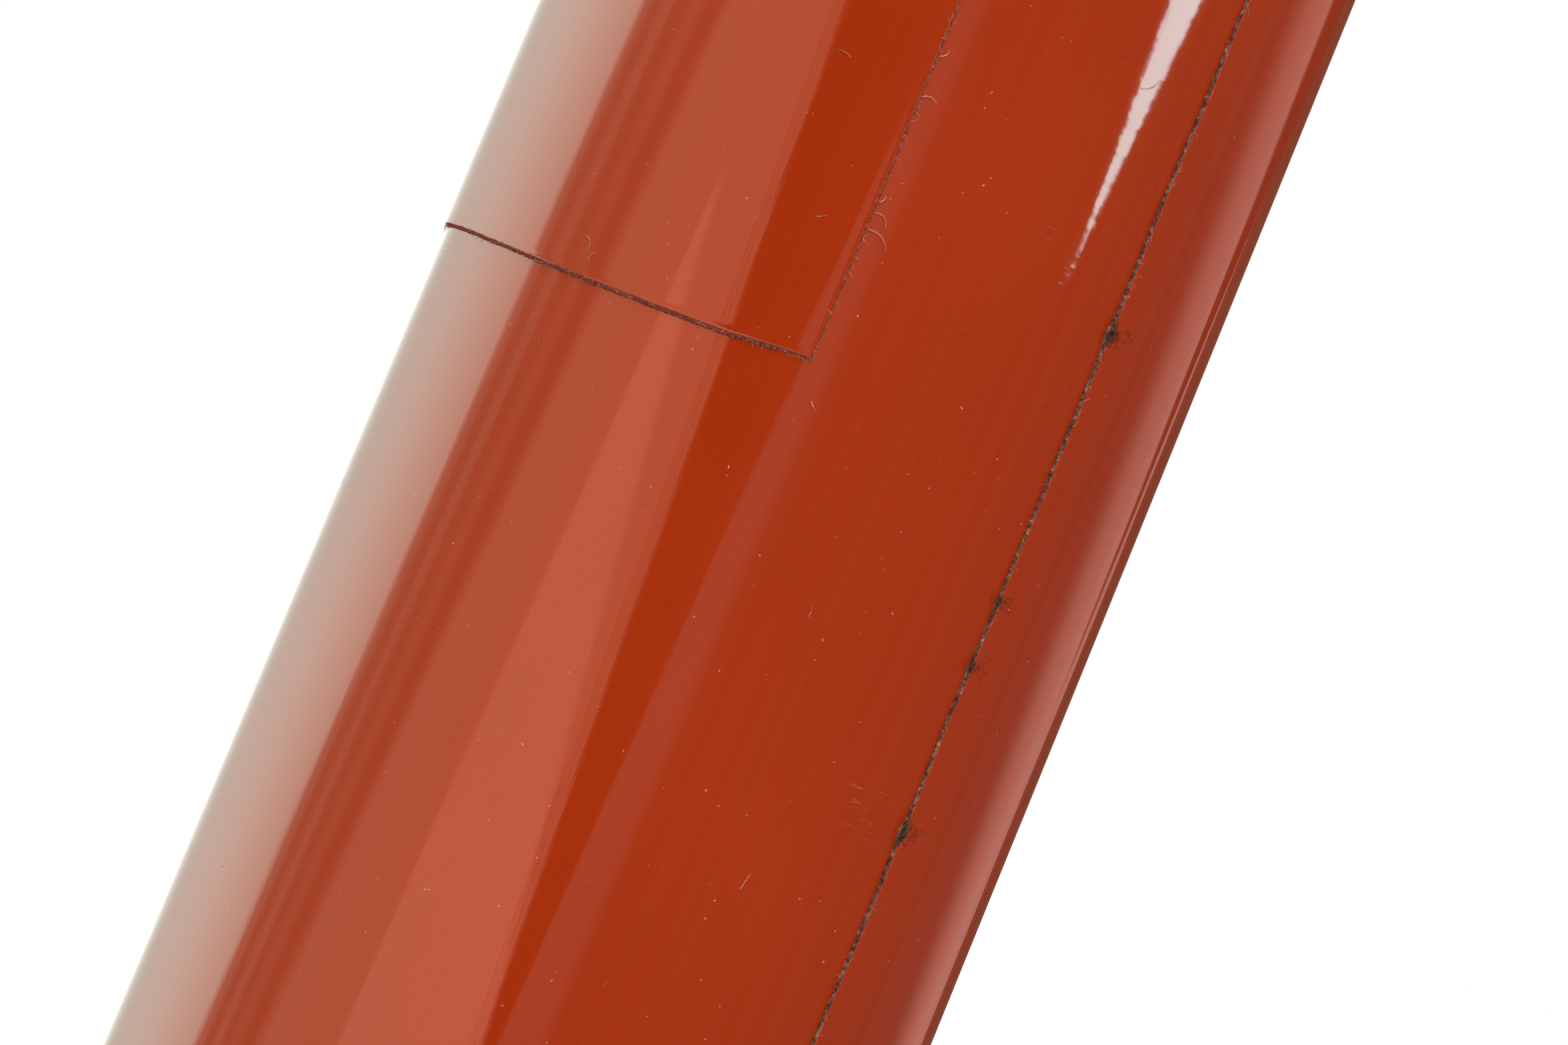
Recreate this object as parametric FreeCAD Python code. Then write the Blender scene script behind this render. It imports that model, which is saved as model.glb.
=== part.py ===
import FreeCAD
import Part
import math
import os

# Drawing tube: a rolled-board carrying tube for A1 sheets, covered in glossy red leatherboard,
# with a pull-off lid and a leather handle.
# Frame: +Z runs along the tube from its base to its lid, the origin is the middle of the base's
# underside, and the handle stands out towards -X. All sizes are in millimetres and all angles
# in degrees, counted about +Z from +X.

# ---- driving dimensions -------------------------------------------------------------------
TOTAL_LENGTH = 640.0        # base to lid top: an A1 sheet's short side is 594
LID_LENGTH = 110.0
NECK_RISE = 45.0            # how far the inner tube stands above the body's mouth
MOUTH_GAP = 0.3             # hairline between body and lid when shut

INNER_TUBE_R = 40.0         # inside of the inner board tube
INNER_TUBE_WALL = 1.5
CORE_WALL = 2.0             # outer board tube of the body
SHEET = 0.5                 # red covering sheet
LINING = 0.3                # paper lining
LID_FIT = 0.3               # radial clearance between lid and neck

LAP_EDGE_DEG = -51.0        # outer cut edge of the covering sheet's lap seam
LAP_WIDTH_DEG = 27.0        # from there to the sheet's under end
LAP_RAMP_DEG = 6.0          # stretch over which the sheet climbs on to its own end
GLUE_LINE = 0.05            # glue between the two layers of the lap

PANEL_LOW = 200.0           # handle panel's lower edge
PANEL_LENGTH = 240.0
PANEL_HALF_DEG = 90.0       # how far the panel goes round, each way from the handle

BOARD_THICKNESS = 5.0       # end boards
RIM_METAL = 0.4             # pressed steel end rims
RIM_HEIGHT = 12.0
RIM_FLANGE = 5.5            # width of the flange that is turned over the end
RIM_CORNER_R = 0.6
BEAD_HEIGHT = 2.4
BEAD_RISE = 0.95            # how far the rolled bead stands out from the rim's skirt
TACK_COUNT = 8
TACK_HEAD_R = 1.5
TACK_HEAD_RISE = 0.7
TACK_SHANK_R = 0.5
TACK_POINT_COVER = 0.1      # board left between a tack's point and the inside of the lid's wall
TACK_CLEARANCE = 0.03

HANDLE_DEG = 180.0          # side of the tube that the handle is on
HANDLE_SPAN = 130.0         # between the handle's two legs, centre to centre
HANDLE_REACH = 30.0         # pivot to the middle of the grip
EYE_GAP = 0.8               # between the eye of a leg and the lug's foot
STRIP_WIDTH = 12.0          # steel strip inside the handle
STRIP_THICKNESS = 2.5
STRIP_BEND_R = 8.0          # inside radius of its two bends
EAR_THICKNESS = 1.5
EAR_SIDE_CLEARANCE = 0.35   # between a leg and each ear
EAR_NOSE_R = 5.5
PIN_R = 2.0
PIN_CLEARANCE = 0.08        # pin in the handle's eye
PIN_HEAD_LIP = 1.2          # how far a pin's head stands past its shank
PIN_HEAD_HEIGHT = 1.0
FOOT_THICKNESS = 1.2
FOOT_HALF_DEG = 22.0
FOOT_MARGIN = 4.9           # foot above and below the ears
RIVET_DEG = 15.0            # a rivet each side of the ears
RIVET_R = 2.0
RIVET_HEAD_LIP = 1.6        # how far a rivet's head stands past its shank
RIVET_HEAD_RISE = 1.7
RIVET_TAIL_LIP = 1.0
RIVET_TAIL_HEIGHT = 0.9
WASHER_LIP = 2.0
WASHER_THICKNESS = 0.8
WASHER_SEAT = 0.01          # glue line between a washer's corners and the lining
HOLE_CLEARANCE = 0.03       # rivet shank in the layers that it passes through
GRIP_END_GAP = 5.0          # from the strip's bend to the end of the grip
PADDING_END = 2.2           # padding over the strip at the grip's ends
PADDING_MIDDLE = 4.6
GRIP_SHOULDER = 0.36        # share of the grip's length at which its swell is nearly full
SHOULDER_SWELL = 0.85
LEATHER = 1.5

# ---- what follows from them ---------------------------------------------------------------
inner_tube_out_r = INNER_TUBE_R + INNER_TUBE_WALL
core_out_r = inner_tube_out_r + CORE_WALL
lid_bore_r = inner_tube_out_r + LID_FIT
cover_r = core_out_r + SHEET
panel_r = cover_r + SHEET
foot_r = panel_r + FOOT_THICKNESS
skirt_r = core_out_r + RIM_METAL
flange_r = core_out_r - RIM_FLANGE
lining_r = INNER_TUBE_R - LINING
body_top = TOTAL_LENGTH - LID_LENGTH
neck_top = body_top + NECK_RISE
lid_low = body_top + MOUTH_GAP
base_board_top = RIM_METAL + BOARD_THICKNESS
tack_point_r = lid_bore_r + TACK_POINT_COVER
tack_z = (RIM_METAL + RIM_HEIGHT - BEAD_HEIGHT) / 2
pivot_r = foot_r + EYE_GAP + STRIP_WIDTH / 2
ear_low = STRIP_THICKNESS / 2 + EAR_SIDE_CLEARANCE
ear_high = ear_low + EAR_THICKNESS
handle_mid_z = PANEL_LOW + PANEL_LENGTH / 2
leg_heights = {"lower": handle_mid_z - HANDLE_SPAN / 2, "upper": handle_mid_z + HANDLE_SPAN / 2}
grip_r = pivot_r + HANDLE_REACH
grip_length = HANDLE_SPAN - STRIP_THICKNESS - 2 * (STRIP_BEND_R + GRIP_END_GAP)
washer_r = RIVET_R + WASHER_LIP
washer_face_r = math.sqrt(lining_r ** 2 - washer_r ** 2) - WASHER_SEAT
FULL_TURN = 360.0
TOLERANCE = 0.001
ORIGIN = FreeCAD.Vector(0, 0, 0)
UP = FreeCAD.Vector(0, 0, 1)
OUT = FreeCAD.Vector(1, 0, 0)


# ---- shared shapes ------------------------------------------------------------------------
def at(x, y, z):
    return FreeCAD.Vector(x, y, z)


def polar(radius, degrees, z=0.0):
    angle = math.radians(degrees)
    return at(radius * math.cos(angle), radius * math.sin(angle), z)


def disc(radius, low, high):
    return Part.makeCylinder(radius, high - low, at(0, 0, low))


def ring(inner, outer, low, high):
    return disc(outer, low, high).cut(disc(inner, low, high))


def line(start, end):
    return Part.LineSegment(start, end).toShape()


def arc(radius, start, end, z):
    """An arc about the tube's axis."""
    middle = polar(radius, (start + end) / 2, z)
    return Part.Arc(polar(radius, start, z), middle, polar(radius, end, z)).toShape()


def face_of(edges):
    return Part.Face(Part.Wire(Part.sortEdges(edges)[0]))


def profile(points):
    """Straight edges through points of the XZ plane, given as (radius, z)."""
    spots = [at(radius, 0, z) for radius, z in points]
    return [line(start, end) for start, end in zip(spots, spots[1:])]


def turned(edges):
    """The solid that a closed outline in the XZ plane makes when it is turned about Z."""
    return face_of(edges).revolve(ORIGIN, UP, FULL_TURN)


def peg(radius, start, end):
    """A cylinder along +X, which radial() then points out of the tube."""
    return Part.makeCylinder(radius, end - start, at(start, 0, 0), OUT)


def dome(radius, rise, seat):
    """A round head that stands on the plane at x = seat, facing +X."""
    ball_r = (radius ** 2 + rise ** 2) / (2 * rise)
    ball = Part.makeSphere(ball_r, at(seat + rise - ball_r, 0, 0))
    return ball.common(peg(ball_r, seat, seat + 2 * rise))


def radial(shape, degrees, z):
    """Turns a shape that is built along +X at z = 0 to an angle and a height on the tube."""
    shape.rotate(ORIGIN, UP, degrees)
    shape.translate(at(0, 0, z))
    return shape


def flipped(shape):
    """The same end piece at the lid's end."""
    return shape.mirror(at(0, 0, TOTAL_LENGTH / 2), UP)


# ---- covering sheets ----------------------------------------------------------------------
def lapped_cover(low, high):
    """A sheet that is wrapped once round the board tube, its outer end lapped over its under end."""
    edge = LAP_EDGE_DEG
    under_end = edge + LAP_WIDTH_DEG
    ramp_foot = under_end + LAP_RAMP_DEG
    wrap_end = under_end + FULL_TURN
    lap_in = cover_r + GLUE_LINE
    lap_out = lap_in + SHEET
    edges = [
        arc(core_out_r, ramp_foot, wrap_end, low),
        line(polar(core_out_r, wrap_end, low), polar(cover_r, wrap_end, low)),
        arc(cover_r, wrap_end, ramp_foot, low),
        line(polar(cover_r, ramp_foot, low), polar(lap_out, under_end, low)),
        arc(lap_out, under_end, edge, low),
        line(polar(lap_out, edge, low), polar(lap_in, edge, low)),
        arc(lap_in, edge, under_end, low),
        line(polar(lap_in, under_end, low), polar(core_out_r, ramp_foot, low)),
    ]
    return face_of(edges).extrude(at(0, 0, high - low))


def curved_plate(inner, outer, half_width, low, high):
    """A plate that follows the tube on the handle's side."""
    start = HANDLE_DEG - half_width
    end = HANDLE_DEG + half_width
    edges = [
        arc(inner, start, end, low),
        line(polar(inner, end, low), polar(outer, end, low)),
        arc(outer, end, start, low),
        line(polar(outer, start, low), polar(inner, start, low)),
    ]
    return face_of(edges).extrude(at(0, 0, high - low))


# ---- ends ---------------------------------------------------------------------------------
def end_rim():
    """Pressed steel rim: a skirt with a rolled bead, and a flange turned over the end."""
    bead_low = RIM_HEIGHT - BEAD_HEIGHT
    corner_mid = RIM_CORNER_R * (1 - math.sqrt(0.5))
    corner = Part.Arc(at(skirt_r - RIM_CORNER_R, 0, 0), at(skirt_r - corner_mid, 0, corner_mid),
                      at(skirt_r, 0, RIM_CORNER_R)).toShape()
    bead = Part.Arc(at(skirt_r, 0, bead_low),
                    at(skirt_r + BEAD_RISE, 0, bead_low + BEAD_HEIGHT / 2),
                    at(skirt_r, 0, RIM_HEIGHT)).toShape()
    inside = profile([(skirt_r, RIM_HEIGHT), (core_out_r, RIM_HEIGHT), (core_out_r, RIM_METAL),
                      (flange_r, RIM_METAL), (flange_r, 0), (skirt_r - RIM_CORNER_R, 0)])
    skirt = profile([(skirt_r, RIM_CORNER_R), (skirt_r, bead_low)])
    return turned(inside + [corner] + skirt + [bead])


def end_board(radius):
    """Board disc of an end, which sits on the covering disc and on the rim's flange."""
    outer = ring(flange_r, radius, RIM_METAL, base_board_top)
    return outer.fuse(disc(flange_r, SHEET, base_board_top)).removeSplitter()


def tack_angles():
    return [FULL_TURN / TACK_COUNT * (i + 0.5) for i in range(TACK_COUNT)]


def tack_holes():
    start = tack_point_r - TACK_CLEARANCE
    return Part.makeCompound([
        radial(peg(TACK_SHANK_R + TACK_CLEARANCE, start, skirt_r + RIM_METAL), degrees, tack_z)
        for degrees in tack_angles()])


def tacks():
    """Dome-headed tacks that hold the rim to the board wall."""
    solids = []
    for degrees in tack_angles():
        shank = peg(TACK_SHANK_R, tack_point_r, skirt_r + TACK_HEAD_RISE / 2)
        tack = dome(TACK_HEAD_R, TACK_HEAD_RISE, skirt_r).fuse(shank)
        solids.append(radial(tack, degrees, tack_z))
    return Part.makeCompound(solids)


# ---- handle fittings ----------------------------------------------------------------------
def rivet_angles():
    return [HANDLE_DEG - RIVET_DEG, HANDLE_DEG + RIVET_DEG]


def rivet_holes():
    """Holes for the rivets through every layer between a lug's foot and the tube's inside."""
    start = washer_face_r - WASHER_THICKNESS
    return Part.makeCompound([
        radial(peg(RIVET_R + HOLE_CLEARANCE, start, foot_r + FOOT_THICKNESS), degrees, z)
        for z in leg_heights.values() for degrees in rivet_angles()])


def rivets(z):
    """Round-head rivets, each peened over a washer inside the tube."""
    tail = washer_face_r - WASHER_THICKNESS
    solids = []
    for degrees in rivet_angles():
        head = dome(RIVET_R + RIVET_HEAD_LIP, RIVET_HEAD_RISE, foot_r)
        peened = Part.makeCone(RIVET_R, RIVET_R + RIVET_TAIL_LIP, RIVET_TAIL_HEIGHT,
                               at(tail - RIVET_TAIL_HEIGHT, 0, 0), OUT)
        shank = peg(RIVET_R, tail, foot_r)
        solids.append(radial(head.fuse([shank, peened]), degrees, z))
    return Part.makeCompound(solids)


def washers(z):
    solids = []
    inner_face = washer_face_r - WASHER_THICKNESS
    for degrees in rivet_angles():
        washer = peg(washer_r, inner_face, washer_face_r)
        bore = peg(RIVET_R + HOLE_CLEARANCE, inner_face, washer_face_r)
        solids.append(radial(washer.cut(bore), degrees, z))
    return Part.makeCompound(solids)


def lug(z, holes):
    """A saddle bracket: a foot that follows the tube, and two ears that hold the pivot pin."""
    foot_half = ear_high + FOOT_MARGIN
    bracket = curved_plate(panel_r, foot_r, FOOT_HALF_DEG, z - foot_half, z + foot_half)
    for low in (z - ear_high, z + ear_low):
        web = Part.makeBox(pivot_r, 2 * EAR_NOSE_R, EAR_THICKNESS,
                           at(-pivot_r, -EAR_NOSE_R, low))
        nose = Part.makeCylinder(EAR_NOSE_R, EAR_THICKNESS, at(-pivot_r, 0, low))
        ear = web.fuse(nose).cut(disc(panel_r, low, low + EAR_THICKNESS))
        bracket = bracket.fuse(ear.cut(Part.makeCylinder(PIN_R, EAR_THICKNESS,
                                                         at(-pivot_r, 0, low))))
    return bracket.cut(holes).removeSplitter()


def pivot_pin(z):
    """A pin with a head at each end, fast in the ears."""
    shank = Part.makeCylinder(PIN_R, 2 * ear_high, at(-pivot_r, 0, z - ear_high))
    heads = [Part.makeCylinder(PIN_R + PIN_HEAD_LIP, PIN_HEAD_HEIGHT, at(-pivot_r, 0, low))
             for low in (z - ear_high - PIN_HEAD_HEIGHT, z + ear_high)]
    return shank.fuse(heads).removeSplitter()


# ---- handle -------------------------------------------------------------------------------
def bent_block(out_x, low, high, radius):
    """A block from the pivots out to out_x, with its two outer edges along Y rounded."""
    block = Part.makeBox(-pivot_r - out_x, STRIP_WIDTH, high - low,
                         at(out_x, -STRIP_WIDTH / 2, low))
    corners = [at(out_x, 0, low), at(out_x, 0, high)]
    outer_edges = [edge for edge in block.Edges
                   if any(edge.CenterOfMass.isEqual(corner, TOLERANCE) for corner in corners)]
    return block.makeFillet(radius, outer_edges)


def handle_strip():
    """Steel strip bent into a flat U, with an eye at the end of each leg."""
    out_x = -grip_r - STRIP_THICKNESS / 2
    low = leg_heights["lower"] - STRIP_THICKNESS / 2
    high = leg_heights["upper"] + STRIP_THICKNESS / 2
    strip = bent_block(out_x, low, high, STRIP_BEND_R + STRIP_THICKNESS)
    strip = strip.cut(bent_block(out_x + STRIP_THICKNESS, low + STRIP_THICKNESS,
                                 high - STRIP_THICKNESS, STRIP_BEND_R))
    for z in leg_heights.values():
        eye_base = at(-pivot_r, 0, z - STRIP_THICKNESS / 2)
        strip = strip.fuse(Part.makeCylinder(STRIP_WIDTH / 2, STRIP_THICKNESS, eye_base))
        strip = strip.cut(Part.makeCylinder(PIN_R + PIN_CLEARANCE, STRIP_THICKNESS, eye_base))
    return strip.removeSplitter()


def grip_body(skin):
    """The grip with its long way along Z, slimmer at its ends, with or without its leather skin."""
    stations = [(-0.5, 0), (-GRIP_SHOULDER, SHOULDER_SWELL), (0, 1),
                (GRIP_SHOULDER, SHOULDER_SWELL), (0.5, 0)]
    wires = []
    for share, swell in stations:
        around = PADDING_END + swell * (PADDING_MIDDLE - PADDING_END) + skin
        centre = at(-grip_r, 0, handle_mid_z + share * grip_length)
        oval = Part.Ellipse(centre + at(0, STRIP_WIDTH / 2 + around, 0),
                            centre + at(STRIP_THICKNESS / 2 + around, 0, 0), centre)
        wires.append(Part.Wire(oval.toShape()))
    return Part.makeLoft(wires, True)


# ---- assembly -----------------------------------------------------------------------------
def body_parts(holes, rim, board_holes):
    core = ring(inner_tube_out_r, core_out_r, RIM_METAL, body_top)
    inner_tube = ring(INNER_TUBE_R, inner_tube_out_r, base_board_top, neck_top)
    lining = ring(lining_r, INNER_TUBE_R, base_board_top, neck_top)
    panel = curved_plate(cover_r, panel_r, PANEL_HALF_DEG, PANEL_LOW, PANEL_LOW + PANEL_LENGTH)
    return {
        "body_core": core.cut(holes).cut(board_holes),
        "body_cover": lapped_cover(RIM_HEIGHT, body_top).cut(holes),
        "inner_tube": inner_tube.cut(holes),
        "inner_lining": lining.cut(holes),
        "base_board": end_board(inner_tube_out_r),
        "base_cover": disc(flange_r, 0, SHEET),
        "base_lining": disc(lining_r, base_board_top, base_board_top + LINING),
        "base_rim": rim,
        "base_rim_tacks": tacks(),
        "handle_panel": panel.cut(holes),
    }


def lid_parts(rim, board_holes):
    core = ring(lid_bore_r, core_out_r, lid_low, TOTAL_LENGTH - RIM_METAL)
    return {
        "lid_core": core.cut(flipped(board_holes)),
        "lid_cover": lapped_cover(lid_low, TOTAL_LENGTH - RIM_HEIGHT),
        "lid_board": flipped(end_board(lid_bore_r)),
        "lid_top_cover": flipped(disc(flange_r, 0, SHEET)),
        "lid_lining": flipped(disc(lid_bore_r, base_board_top, base_board_top + LINING)),
        "lid_rim": flipped(rim),
        "lid_rim_tacks": flipped(tacks()),
    }


def handle_parts(holes):
    strip = handle_strip()
    padded = grip_body(0)
    parts = {
        "handle_strip": strip,
        "handle_padding": padded.cut(strip),
        "handle_leather": grip_body(LEATHER).cut(padded),
    }
    for side, z in leg_heights.items():
        parts["lug_" + side] = lug(z, holes)
        parts["lug_rivets_" + side] = rivets(z)
        parts["rivet_washers_" + side] = washers(z)
        parts["pivot_pin_" + side] = pivot_pin(z)
    return parts


def main():
    os.makedirs("parts", exist_ok=True)
    holes = rivet_holes()
    board_holes = tack_holes()
    rim = end_rim().cut(board_holes)
    parts = body_parts(holes, rim, board_holes)
    parts.update(lid_parts(rim, board_holes))
    parts.update(handle_parts(holes))
    for name, shape in parts.items():
        if not shape.Solids or not shape.isValid():
            raise ValueError(name + " is not a valid solid")
        shape = shape if len(shape.Solids) > 1 else shape.Solids[0]
        shape.exportStep("parts/" + name + ".step")
        print(name, len(shape.Solids), "solids", round(shape.Volume), "mm3")


main()
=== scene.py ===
import math
import random

import bpy
import numpy as np
from mathutils import Matrix, Vector, noise


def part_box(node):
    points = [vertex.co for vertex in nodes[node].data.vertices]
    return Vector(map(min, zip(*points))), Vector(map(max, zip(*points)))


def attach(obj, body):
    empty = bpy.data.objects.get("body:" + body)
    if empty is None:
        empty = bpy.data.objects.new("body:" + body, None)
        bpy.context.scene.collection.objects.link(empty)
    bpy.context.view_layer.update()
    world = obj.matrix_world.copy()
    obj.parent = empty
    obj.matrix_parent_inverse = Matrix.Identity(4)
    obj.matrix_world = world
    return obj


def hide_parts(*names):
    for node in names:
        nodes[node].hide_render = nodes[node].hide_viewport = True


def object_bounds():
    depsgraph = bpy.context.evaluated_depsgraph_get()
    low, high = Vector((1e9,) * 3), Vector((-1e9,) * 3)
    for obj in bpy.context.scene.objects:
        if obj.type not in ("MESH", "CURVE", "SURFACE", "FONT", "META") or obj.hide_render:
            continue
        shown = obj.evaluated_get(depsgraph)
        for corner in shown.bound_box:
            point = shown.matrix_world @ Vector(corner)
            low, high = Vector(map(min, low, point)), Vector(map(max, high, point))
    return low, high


MM = 0.001
TURN = 2 * math.pi

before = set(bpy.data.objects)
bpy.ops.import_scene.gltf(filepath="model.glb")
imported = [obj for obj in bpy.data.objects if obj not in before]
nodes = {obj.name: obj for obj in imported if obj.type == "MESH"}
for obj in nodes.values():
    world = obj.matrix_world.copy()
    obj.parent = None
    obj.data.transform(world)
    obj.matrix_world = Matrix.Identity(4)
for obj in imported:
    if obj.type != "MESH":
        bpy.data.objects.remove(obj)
cad_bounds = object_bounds()
random.seed(7)


# ---- sizes read from the frame ------------------------------------------------------------
def outer_radius(node):
    """The radius of a round node about the tube's axis."""
    return -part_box(node)[0].x


def polar_points(node):
    """Azimuth and radius of every point of a node's mesh."""
    points = np.array([v.co for v in nodes[node].data.vertices])
    return np.arctan2(points[:, 1], points[:, 0]), np.hypot(points[:, 0], points[:, 1])


CORE_R = outer_radius("body_core")
COVER_R = outer_radius("body_cover")
PANEL_R = outer_radius("handle_panel")
SHEET = COVER_R - CORE_R
cover_azimuths, cover_radii = polar_points("body_cover")
LAP_R = cover_radii.max()
lap_azimuths = cover_azimuths[cover_radii > LAP_R - 0.1 * SHEET]
LAP_EDGE = lap_azimuths.min()       # the cut edge that shows
UNDER_END = lap_azimuths.max()      # the sheet's other end, hidden under the lap
LAP_RAMP = math.radians(6.0)        # past the under end the lap comes down over this angle
PANEL_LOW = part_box("handle_panel")[0].z
PANEL_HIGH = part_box("handle_panel")[1].z


# ---- node helpers -------------------------------------------------------------------------
class Graph:
    """A short way to write a node tree. Values are sockets or constants, results are sockets."""

    def __init__(self, tree):
        self.tree = tree

    def add(self, kind, inputs=(), **settings):
        node = self.tree.nodes.new(kind)
        for name, value in settings.items():
            setattr(node, name, value)
        for key, value in dict(inputs).items():
            self.feed(node.inputs[key], value)
        return node

    def feed(self, socket, value):
        if isinstance(value, bpy.types.NodeSocket):
            self.tree.links.new(value, socket)
        else:
            socket.default_value = value

    def math(self, operation, a, b=0.0, c=0.0):
        node = self.add("ShaderNodeMath", {0: a, 1: b, 2: c}, operation=operation)
        return node.outputs[0]

    def add_up(self, *values):
        total = values[0]
        for value in values[1:]:
            total = self.math("ADD", total, value)
        return total

    def times(self, *values):
        product = values[0]
        for value in values[1:]:
            product = self.math("MULTIPLY", product, value)
        return product

    def step(self, value, start, end, low=0.0, high=1.0):
        """A smooth step of value from low at start to high at end."""
        node = self.add("ShaderNodeMapRange", {0: value, 1: start, 2: end, 3: low, 4: high},
                        interpolation_type="SMOOTHSTEP")
        return node.outputs[0]

    def ramp(self, value, stops):
        node = self.add("ShaderNodeValToRGB", {0: value})
        elements = node.color_ramp.elements
        while len(elements) < len(stops):
            elements.new(0.5)
        for element, (position, colour) in zip(elements, stops):
            element.position = position
            element.color = (*colour, 1.0)
        return node.outputs[0]

    def mix(self, share, a, b, blend="MIX"):
        node = self.add("ShaderNodeMix", data_type="RGBA", blend_type=blend)
        self.feed(node.inputs[0], share)
        for socket, value in ((node.inputs[6], a), (node.inputs[7], b)):
            self.feed(socket, value if isinstance(value, bpy.types.NodeSocket) else (*value, 1.0))
        return node.outputs[2]

    def noise(self, vector, scale, detail=2.0, roughness=0.5, distortion=0.0):
        node = self.add("ShaderNodeTexNoise", {"Vector": vector, "Scale": scale, "Detail": detail,
                                               "Roughness": roughness, "Distortion": distortion})
        return node.outputs[0]

    def scaled(self, vector, scale):
        node = self.add("ShaderNodeMapping", {"Vector": vector, "Scale": scale})
        return node.outputs[0]

    def bump(self, height, strength, distance, below=None):
        inputs = {"Height": height, "Strength": strength, "Distance": distance}
        if below is not None:
            inputs["Normal"] = below
        return self.add("ShaderNodeBump", inputs).outputs[0]


def material(name):
    """A new material, its graph, and a function that sets one of its shader's sockets."""
    made = bpy.data.materials.new(name)
    made.use_nodes = True
    graph = Graph(made.node_tree)
    shader = made.node_tree.nodes["Principled BSDF"]

    def shade(socket, value):
        graph.feed(shader.inputs[socket], value)
    return made, graph, shade


def place(graph):
    """The point on the object, in metres."""
    return graph.add("ShaderNodeTexCoord").outputs["Object"]


def unrolled(graph, point, radius):
    """The point on a tube's wall unrolled flat: along the wall, along the axis, and depth."""
    parts = graph.add("ShaderNodeSeparateXYZ", {0: point})
    angle = graph.math("ARCTAN2", parts.outputs[1], parts.outputs[0])
    around = graph.math("MULTIPLY", angle, radius)
    return graph.add("ShaderNodeCombineXYZ", {0: around, 1: parts.outputs[2]}).outputs[0]


# ---- materials ----------------------------------------------------------------------------
def red_lacquer():
    """Glossy red lacquer on leatherboard: blotches, faint drawn streaks, specks and scuffs.

    A strip to the right of the panel's corner is puckered more than the rest.
    """
    made, g, shade = material("red_lacquer")
    point = place(g)
    flat = unrolled(g, point, COVER_R)
    blotch = g.noise(point, 22.0, 3.0, 0.55)
    streak = g.noise(g.scaled(flat, (900.0, 9.0, 1.0)), 1.0, 3.0, 0.6)
    colour = g.ramp(g.math("MULTIPLY_ADD", streak, 0.25, g.times(blotch, 0.75)), [
        (0.30, (0.400, 0.0320, 0.0040)), (0.52, (0.425, 0.0345, 0.0046)),
        (0.74, (0.450, 0.0390, 0.0058))])
    speck = g.step(g.noise(point, 2600.0, 1.0, 0.4), 0.81, 0.84)
    pale = g.step(g.noise(point, 1900.0, 1.0, 0.4), 0.79, 0.83)
    colour = g.mix(g.times(speck, 0.7), colour, (0.055, 0.020, 0.014))
    colour = g.mix(g.times(pale, 0.7), colour, (0.66, 0.42, 0.34))
    scuff_place = g.step(g.noise(point, 34.0, 2.0, 0.5), 0.66, 0.74)
    scratch = g.step(g.noise(g.scaled(flat, (250.0, 3200.0, 1.0)), 1.0, 2.0, 0.7), 0.60, 0.70)
    scuff = g.times(scuff_place, scratch)
    colour = g.mix(g.times(scuff, 0.22), colour, (0.55, 0.22, 0.14))
    smudge = g.noise(g.scaled(point, (45.0, 45.0, 18.0)), 1.0, 4.0, 0.6)
    gloss = g.add_up(g.step(smudge, 0.35, 0.75, 0.045, 0.085), g.times(scuff, 0.22))
    drawn = g.noise(g.scaled(flat, (1100.0, 16.0, 1.0)), 1.0, 2.0, 0.5)
    peel = g.noise(g.scaled(flat, (240.0, 560.0, 1.0)), 1.0, 2.0, 0.5)
    along_wall = g.add("ShaderNodeSeparateXYZ", {0: flat}).outputs[0]
    puckered = g.times(g.step(along_wall, -0.066, -0.060),
                       g.step(along_wall, -0.042, -0.0395, 1.0, 0.0))
    peel = g.times(peel, g.math("MULTIPLY_ADD", puckered, 0.75, 0.25))
    ripple = g.noise(g.scaled(flat, (75.0, 26.0, 1.0)), 1.0, 1.0, 0.4)
    normal = g.bump(ripple, 0.5, 0.00006)
    normal = g.bump(peel, 1.0, 0.000011, normal)
    normal = g.bump(drawn, 1.0, 0.0000035, normal)
    normal = g.bump(g.times(scuff, -1.0), 0.4, 0.00002, normal)
    shade("Base Color", colour)
    shade("Roughness", gloss)
    shade("Normal", normal)
    shade("IOR", 1.5)
    shade("Specular Tint", (1.0, 0.68, 0.55, 1.0))
    return made


def fibre_core():
    """The panel's cut edge: brown fibres, dust and dark dirt."""
    made, g, shade = material("fibre_core")
    point = place(g)
    fibres = g.noise(point, 3600.0, 4.0, 0.75)
    dirt = g.noise(point, 700.0, 3.0, 0.6)
    colour = g.ramp(fibres, [(0.34, (0.130, 0.030, 0.017)), (0.50, (0.390, 0.088, 0.047)),
                             (0.62, (0.520, 0.170, 0.100)), (0.72, (0.900, 0.680, 0.580))])
    colour = g.mix(g.step(dirt, 0.56, 0.72, 0.0, 0.6), colour, (0.085, 0.036, 0.026))
    shade("Base Color", colour)
    shade("Roughness", 0.95)
    shade("Specular IOR Level", 0.15)
    shade("Normal", g.bump(fibres, 0.9, 0.0002))
    return made


def fuzz(name, pattern, stops, values, relief=None):
    """Fluff, dirt or felt that changes colour from fibre to fibre.

    pattern is the noise's scale, detail and roughness, values are constants for the shader, and
    relief is a bump's strength and depth.
    """
    made, g, shade = material(name)
    fibres = g.noise(place(g), *pattern)
    shade("Base Color", g.ramp(fibres, stops))
    for socket, value in values.items():
        shade(socket, value)
    if relief:
        shade("Normal", g.bump(fibres, *relief))
    return made


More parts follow.
